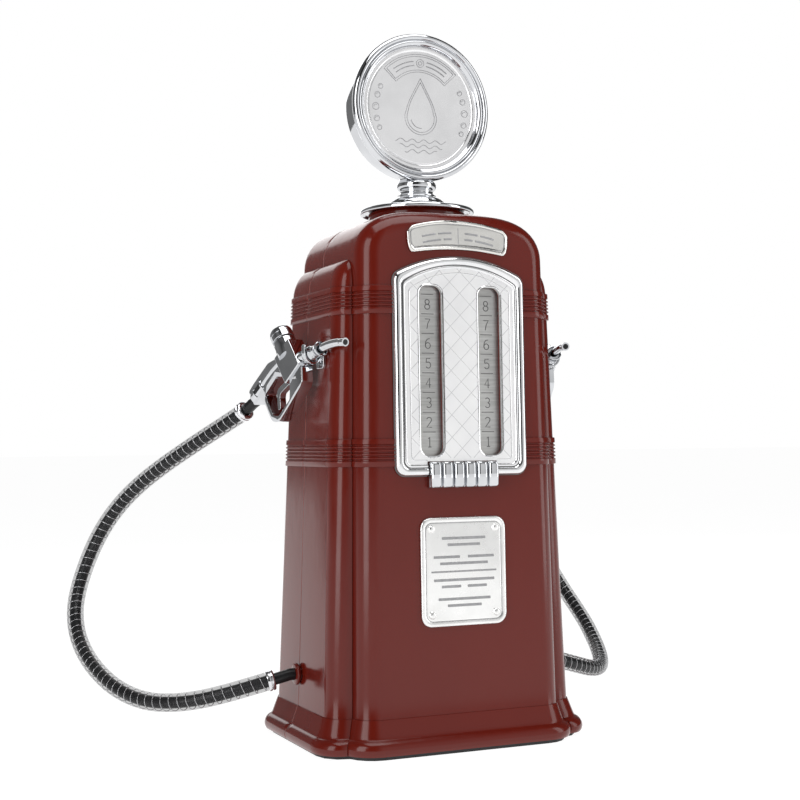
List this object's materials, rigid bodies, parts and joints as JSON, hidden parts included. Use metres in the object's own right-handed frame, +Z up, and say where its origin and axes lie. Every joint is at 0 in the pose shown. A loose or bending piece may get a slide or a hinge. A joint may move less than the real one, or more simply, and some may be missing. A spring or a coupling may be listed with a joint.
{
  "type": "drinks dispenser",
  "caption": "Table-top drinks dispenser in the shape of a vintage twin fuel pump, with two hoses, two trigger nozzles on hooks and a lift-off lid under a round sign.",
  "frame": {"origin": "on the floor, under the middle of the base", "axes": "+Z up, the gauge front faces -Y, +X is the right-hand nozzle seen from the back and the pump's own left"},
  "size_m": [0.4252, 0.262, 0.48],
  "materials": {
    "body": "deep maroon gloss",
    "base": "black moulded",
    "rubber": "matt",
    "steel": "bright plated",
    "chrome": "mirror plated",
    "pewter": "satin",
    "gauge": "brushed grey",
    "tank": "clear",
    "hose": "black",
    "sleeve": "clear sleeve over a wire coil"
  },
  "bodies": {
    "pump": {"front_shell": "body", "rear_shell": "body", "base_plate": "base", "foot_1": "rubber", "foot_2": "rubber", "foot_3": "rubber", "foot_4": "rubber", "tank_shelf": "base", "tank_left": "tank", "tank_right": "tank", "tank_left_cover": "tank", "tank_right_cover": "tank", "feed_tube_left": "hose", "feed_tube_right": "hose", "filler_collar": "body", "bezel": "chrome", "gauge_strip_left": "gauge", "gauge_strip_right": "gauge", "grille": "chrome", "header_plaque": "pewter", "lower_plate": "pewter", "rivet_1": "chrome", "rivet_2": "chrome", "rivet_3": "chrome", "rivet_4": "chrome", "hose_gland_left": "body", "hose_gland_right": "body", "hose_left": "hose", "hose_right": "hose", "hose_left_sleeve": "sleeve", "hose_right_sleeve": "sleeve", "hose_left_lower_ferrule": "steel", "hose_left_upper_ferrule": "steel", "hose_right_lower_ferrule": "steel", "hose_right_upper_ferrule": "steel", "nozzle_hook_left": "chrome", "nozzle_hook_right": "chrome"},
    "lid": {"lid_flange": "chrome", "lid_stem": "chrome", "lid_seal": "rubber", "globe_drum": "chrome", "globe_ring": "chrome", "globe_face": "chrome", "globe_back": "chrome"},
    "nozzle_left": {"nozzle_left_casting": "chrome", "nozzle_left_collar": "chrome", "nozzle_left_cap": "chrome", "nozzle_left_spout": "chrome", "nozzle_left_trigger_pin": "steel", "nozzle_left_valve_spring": "steel"},
    "nozzle_right": {"nozzle_right_casting": "chrome", "nozzle_right_collar": "chrome", "nozzle_right_cap": "chrome", "nozzle_right_spout": "chrome", "nozzle_right_trigger_pin": "steel", "nozzle_right_valve_spring": "steel"},
    "trigger_left": {"nozzle_left_trigger": "chrome"},
    "trigger_right": {"nozzle_right_trigger": "chrome"},
    "valve_left": {"nozzle_left_plunger": "steel"},
    "valve_right": {"nozzle_right_plunger": "steel"}
  },
  "joints": [
    {"name": "lid_lift", "type": "slide", "parent": "pump", "child": "lid", "axis": [0, 0, 1], "range_m": [0, 0.06]},
    {"name": "nozzle_left_lift", "type": "slide", "parent": "pump", "child": "nozzle_left", "axis": [0, 0, 1], "range_m": [0, 0.02]},
    {"name": "nozzle_right_lift", "type": "slide", "parent": "pump", "child": "nozzle_right", "axis": [0, 0, 1], "range_m": [0, 0.02]},
    {"name": "trigger_left_pull", "type": "hinge", "parent": "nozzle_left", "child": "trigger_left", "pos_m": [-0.09174, -0.01219, 0.2423], "axis": [0.9724, 0.2334, 0], "range_deg": [0, 12], "stiffness_Nm_per_rad": 0.02, "springref_deg": -5.73},
    {"name": "trigger_right_pull", "type": "hinge", "parent": "nozzle_right", "child": "trigger_right", "pos_m": [0.09174, -0.01219, 0.2423], "axis": [0.9724, -0.2334, 0], "range_deg": [0, 12], "stiffness_Nm_per_rad": 0.02, "springref_deg": -5.73},
    {"name": "valve_left_slide", "type": "slide", "parent": "nozzle_left", "child": "valve_left", "axis": [-0.1401, 0.5834, 0.8], "range_m": [0, 0.0016], "deforming": ["nozzle_left_valve_spring"]},
    {"name": "valve_right_slide", "type": "slide", "parent": "nozzle_right", "child": "valve_right", "axis": [0.1401, 0.5834, 0.8], "range_m": [0, 0.0016], "deforming": ["nozzle_right_valve_spring"]}
  ],
  "couplings": [
    {"joint": "valve_left_slide", "follows": "trigger_left_pull", "m_per_rad": 0.007},
    {"joint": "valve_right_slide", "follows": "trigger_right_pull", "m_per_rad": 0.007}
  ]
}
